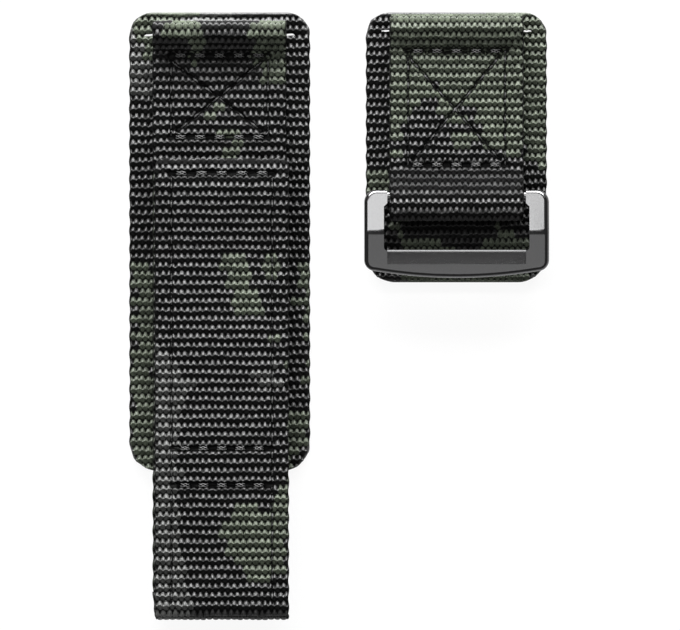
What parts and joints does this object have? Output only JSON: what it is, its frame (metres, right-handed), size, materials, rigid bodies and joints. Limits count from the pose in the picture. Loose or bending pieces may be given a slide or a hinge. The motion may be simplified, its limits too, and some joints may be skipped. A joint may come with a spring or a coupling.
{
  "type": "hook and loop watch strap",
  "caption": "Woven watch strap in two halves: wide pads, folded webbings with lug loops, a hook and loop tongue and a cranked metal buckle.",
  "frame": {"origin": "middle of the two halves' shared box, on the plane that their backs lie on", "axes": "+X from the long half to the short half, +Y along the strap towards the lug loops, +Z out of the wearer's wrist"},
  "size_m": [0.068, 0.0984, 0.0078],
  "materials": {
    "long_pad_weave": "woven",
    "long_webbing_weave": "woven",
    "tongue_weave": "woven",
    "short_pad_weave": "woven",
    "short_webbing_weave": "woven",
    "loop_tape": "brushed",
    "hook_tape": "hooked",
    "sewing_thread": "twisted",
    "buckle_black": "satin"
  },
  "bodies": {
    "long_half": {"long_pad": "long_pad_weave", "long_webbing": "long_webbing_weave", "run_webbing": "long_webbing_weave", "strap_fold": "long_webbing_weave", "fold_loop_tape": "loop_tape", "run_loop_tape": "loop_tape", "long_box_thread": "sewing_thread", "long_box_bobbin": "sewing_thread", "run_thread_left": "sewing_thread", "run_thread_right": "sewing_thread"},
    "tongue": {"tongue_webbing": "tongue_weave", "tongue_hook_tape": "hook_tape", "tongue_loop_tape": "loop_tape", "tongue_edge_thread": "sewing_thread", "hook_end_thread": "sewing_thread", "loop_end_thread": "sewing_thread"},
    "short_half": {"short_pad": "short_pad_weave", "short_webbing": "short_webbing_weave", "short_box_thread": "sewing_thread", "short_box_bobbin": "sewing_thread"},
    "buckle": {"buckle_frame": "buckle_black"}
  },
  "joints": [
    {"name": "tongue_fold", "type": "hinge", "parent": "long_half", "child": "tongue", "pos_m": [-0.0193, -0.04958, 0.00398], "axis": [1, 0, 0], "range_deg": [0, 180], "deforming": ["strap_fold", "fold_loop_tape"]},
    {"name": "short_half_lift", "type": "slide", "parent": "long_half", "child": "short_half", "axis": [0, 0, 1], "range_m": [0, 0.06]},
    {"name": "buckle_pivot", "type": "hinge", "parent": "short_half", "child": "buckle", "pos_m": [0.01905, 0.01935, 0.00496], "axis": [-1, 0, 0], "range_deg": [-12, 150]}
  ]
}
